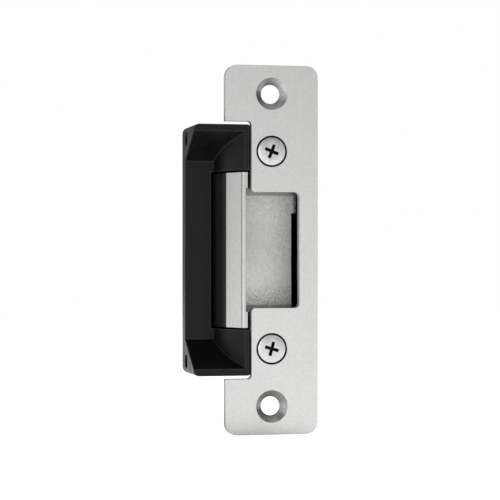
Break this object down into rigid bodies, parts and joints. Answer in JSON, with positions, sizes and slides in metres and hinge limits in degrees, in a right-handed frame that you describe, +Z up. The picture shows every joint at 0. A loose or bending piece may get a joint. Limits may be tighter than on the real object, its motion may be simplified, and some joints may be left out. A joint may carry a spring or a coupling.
{
  "type": "electric door strike",
  "caption": "Electric strike for a door frame: notched steel faceplate, black cast housing with a recessed lip, and a swinging steel keeper with its lock.",
  "frame": {"origin": "centre of the faceplate's rear face, midway between its two fixing holes: the point on the door frame's edge that the strike is fixed to", "axes": "+Z up along the faceplate, +Y into the door frame (out of the faceplate's rear face), +X away from the lip"},
  "size_m": [0.0426, 0.035, 0.1238],
  "materials": {
    "stainless": "satin, fine vertical brushing",
    "cast_steel": "satin on the lip, as-cast mottled floor",
    "zinc_plated": "zinc plated",
    "black_paint": "fine textured satin powder coat",
    "machined_steel": "ground",
    "spring_steel": "bright drawn wire and strip",
    "bronze": "sintered bronze",
    "copper_wire": "enamelled winding",
    "nylon": "natural nylon",
    "black_plastic": "moulded, matt",
    "red_plastic": "moulded, glossy",
    "laminate": "green solder mask",
    "blue_resin": "dipped resin",
    "brass": "tinned brass"
  },
  "bodies": {
    "housing_unit": {"faceplate": "stainless", "faceplate_screw_upper": "zinc_plated", "faceplate_screw_lower": "zinc_plated", "housing": "black_paint", "rear_cover": "black_paint", "keeper_shaft": "machined_steel", "keeper_bush_upper": "bronze", "keeper_bush_lower": "bronze", "shaft_clip": "spring_steel", "keeper_spring_upper": "spring_steel", "keeper_spring_lower": "spring_steel", "lock_lever_pin": "machined_steel", "lock_lever_clip": "spring_steel", "solenoid_frame": "zinc_plated", "solenoid_bobbin": "nylon", "solenoid_coil": "copper_wire", "solenoid_core": "machined_steel", "plunger_spring": "spring_steel", "lock_switch_body": "black_plastic", "keeper_switch_body": "black_plastic", "circuit_board": "laminate", "suppressor": "blue_resin", "terminal_socket": "nylon", "terminal_pin_left": "brass", "terminal_pin_right": "brass", "coil_lead_red": "red_plastic", "coil_lead_black": "black_plastic", "rear_cover_screw_1": "zinc_plated", "rear_cover_screw_2": "zinc_plated", "rear_cover_screw_3": "zinc_plated", "rear_cover_screw_4": "zinc_plated", "solenoid_screw_1": "zinc_plated", "solenoid_screw_2": "zinc_plated", "lock_switch_screw_1": "zinc_plated", "lock_switch_screw_2": "zinc_plated", "keeper_switch_screw_1": "zinc_plated", "keeper_switch_screw_2": "zinc_plated", "board_screw_1": "zinc_plated", "board_screw_2": "zinc_plated"},
    "keeper": {"keeper": "cast_steel"},
    "lock_lever": {"lock_lever": "machined_steel"},
    "plunger": {"solenoid_plunger": "machined_steel"},
    "lock_switch_button": {"lock_switch_button": "red_plastic"},
    "keeper_switch_leaf": {"keeper_switch_leaf": "spring_steel"},
    "keeper_switch_button": {"keeper_switch_button": "red_plastic"}
  },
  "joints": [
    {"name": "keeper_swing", "type": "hinge", "parent": "housing_unit", "child": "keeper", "pos_m": [0.0073, 0.0157, 0], "axis": [0, 0, -1], "range_deg": [0, 35], "stiffness_Nm_per_rad": 0.03, "springref_deg": -20.05, "deforming": ["keeper_spring_upper", "keeper_spring_lower"]},
    {"name": "plunger_travel", "type": "slide", "parent": "housing_unit", "child": "plunger", "axis": [-1, 0, 0], "range_m": [0, 0.0008378], "stiffness_N_per_m": 60, "springref_m": -0.0008, "deforming": ["plunger_spring"]},
    {"name": "lock_lever_swing", "type": "hinge", "parent": "housing_unit", "child": "lock_lever", "pos_m": [0.0046, 0.01705, -0.031], "axis": [0, 1, 0], "range_deg": [0, 12.1]},
    {"name": "lock_button_travel", "type": "slide", "parent": "housing_unit", "child": "lock_switch_button", "axis": [0, 0, 1], "range_m": [0, 0.0006]},
    {"name": "keeper_leaf_swing", "type": "hinge", "parent": "housing_unit", "child": "keeper_switch_leaf", "pos_m": [-0.00765, 0.0243, 0.031], "axis": [0, 0, -1], "range_deg": [0, 3.8]},
    {"name": "keeper_button_travel", "type": "slide", "parent": "housing_unit", "child": "keeper_switch_button", "axis": [0, -1, 0], "range_m": [0, 0.0004]}
  ],
  "couplings": [
    {"joint": "lock_lever_swing", "follows": "plunger_travel", "rad_per_m": 250},
    {"joint": "lock_button_travel", "follows": "plunger_travel", "ratio": 0.65648},
    {"joint": "keeper_leaf_swing", "follows": "keeper_swing", "ratio": 0.1},
    {"joint": "keeper_button_travel", "follows": "keeper_swing", "m_per_rad": 0.0005238}
  ]
}
